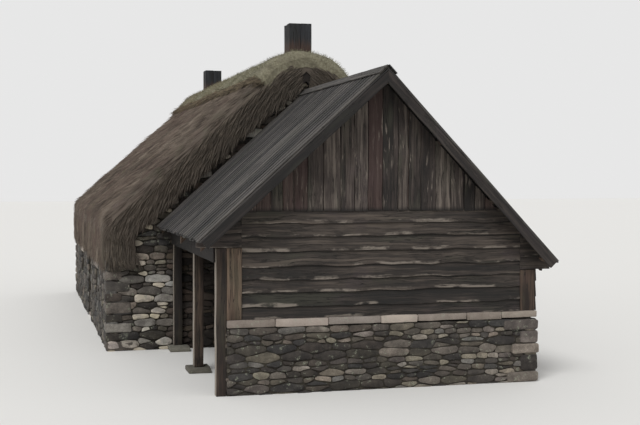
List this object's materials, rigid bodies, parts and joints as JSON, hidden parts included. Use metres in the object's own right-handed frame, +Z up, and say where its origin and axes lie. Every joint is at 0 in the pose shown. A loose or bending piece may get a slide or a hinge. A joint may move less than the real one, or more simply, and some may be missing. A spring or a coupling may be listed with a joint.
{
  "type": "turf house",
  "caption": "Low rubble stone house with a rounded thatched roof, turf along its ridge, box chimneys, and an open-sided timber bay under a board roof on a rubble plinth",
  "frame": {"origin": "on the ground, at the middle of the whole building's plan", "axes": "X runs across the house, towards its blind long wall; Y runs along the ridge, from the timber bay to the far gable; Z is up"},
  "size_m": [7.36, 15.9, 5.9408],
  "materials": {
    "rubble_stone": "rough",
    "cap_stone": "rough",
    "thatch": "rough",
    "roof_turf": "rough",
    "ridge_turf": "rough",
    "timber": "rough",
    "gable_boards": "rough",
    "roof_boards": "rough",
    "sooty_boards": "rough",
    "window_glass": "clear"
  },
  "bodies": {
    "root": {"near_gable_wall": "rubble_stone", "far_gable_wall": "rubble_stone", "left_wall_near": "rubble_stone", "left_wall_far": "rubble_stone", "right_wall": "rubble_stone", "lintels": "cap_stone", "threshold_stone": "cap_stone", "door_frame": "timber", "house_door": "timber", "window_frames": "timber", "window_glass": "window_glass", "left_couples": "timber", "right_couples": "timber", "collar_beams": "timber", "house_purlins": "timber", "left_turf_layer": "roof_turf", "right_turf_layer": "roof_turf", "left_thatch": "thatch", "right_thatch": "thatch", "ridge_turf": "ridge_turf", "near_chimney": "sooty_boards", "far_chimney": "sooty_boards", "front_plinth": "rubble_stone", "right_plinth": "rubble_stone", "plinth_cap": "cap_stone", "padstones": "cap_stone", "left_posts": "timber", "gable_posts": "timber", "right_posts": "timber", "left_plate": "timber", "right_plate": "timber", "left_header_board": "gable_boards", "gable_rail": "timber", "gable_studs": "timber", "bay_left_rafters": "timber", "bay_right_rafters": "timber", "bay_purlins": "timber", "bay_collars": "timber", "gable_lower_boards": "gable_boards", "gable_upper_boards": "gable_boards", "right_wall_boards": "gable_boards", "left_board_roof": "roof_boards", "right_board_roof": "roof_boards", "ridge_boards": "roof_boards", "bargeboards": "gable_boards"}
  },
  "joints": []
}
